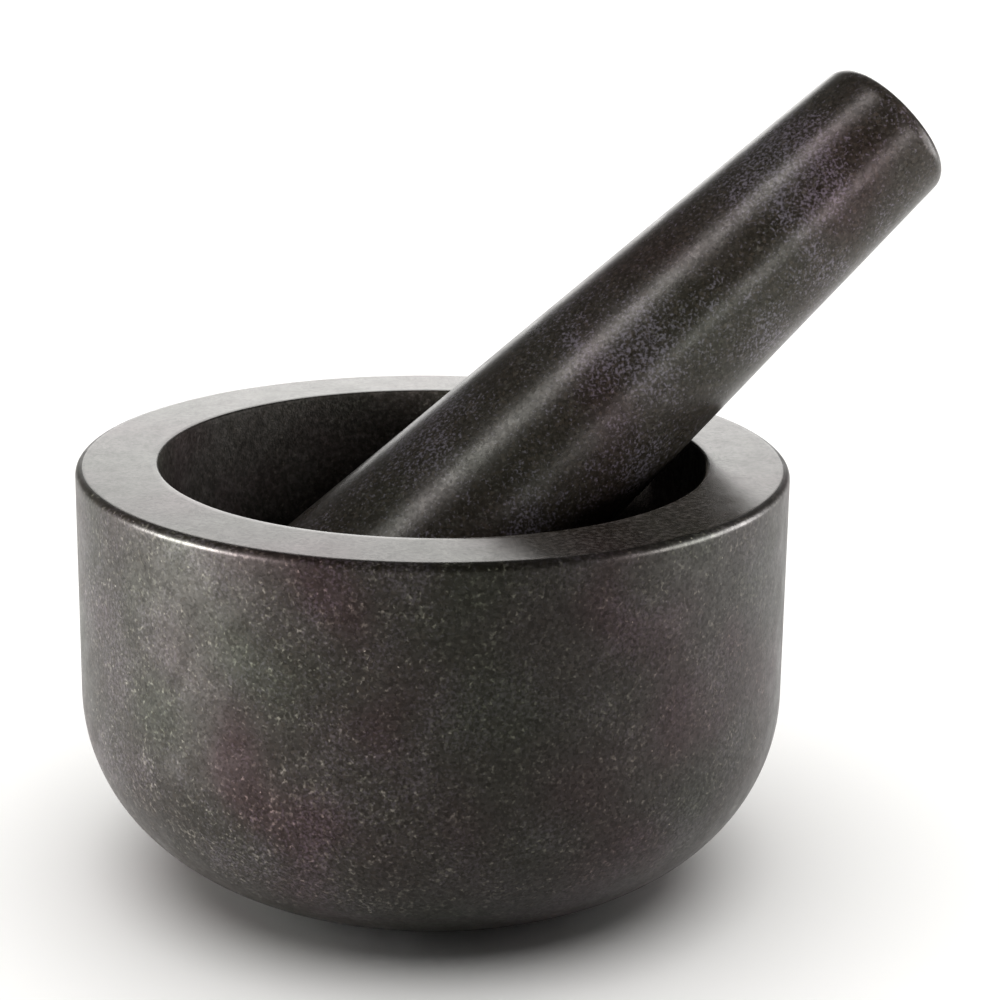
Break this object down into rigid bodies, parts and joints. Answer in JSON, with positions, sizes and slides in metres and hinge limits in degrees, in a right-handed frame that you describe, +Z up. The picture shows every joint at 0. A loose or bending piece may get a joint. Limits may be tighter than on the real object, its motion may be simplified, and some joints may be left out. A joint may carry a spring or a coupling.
{
  "type": "mortar and pestle",
  "caption": "Smooth turned dark granite mortar with a flat polished rim and a tapered round-footed pestle leaning in it.",
  "frame": {"origin": "on the axis of the bowl, at the underside of its pad, where the mortar stands on a table", "axes": "+Z up along the bowl's axis; the pestle leans towards +X in the XZ plane, its foot in the bowl at -X"},
  "size_m": [0.1777, 0.14, 0.1566],
  "materials": {
    "mortar_granite": "honed dark granite with fine pale flecks, rim ground flat and polished, cavity left rough for grinding",
    "pestle_granite": "smooth-rubbed dark granite with fine pale flecks, foot left rough for grinding",
    "pad_foam": "matte black closed-cell foam"
  },
  "bodies": {
    "mortar": {"mortar": "mortar_granite", "base_pad": "pad_foam"},
    "pestle": {"pestle": "pestle_granite"}
  },
  "joints": [
    {"name": "pestle_lift", "type": "slide", "parent": "mortar", "child": "pestle", "axis": [0, 0, 1], "range_m": [0, 0.1]}
  ]
}
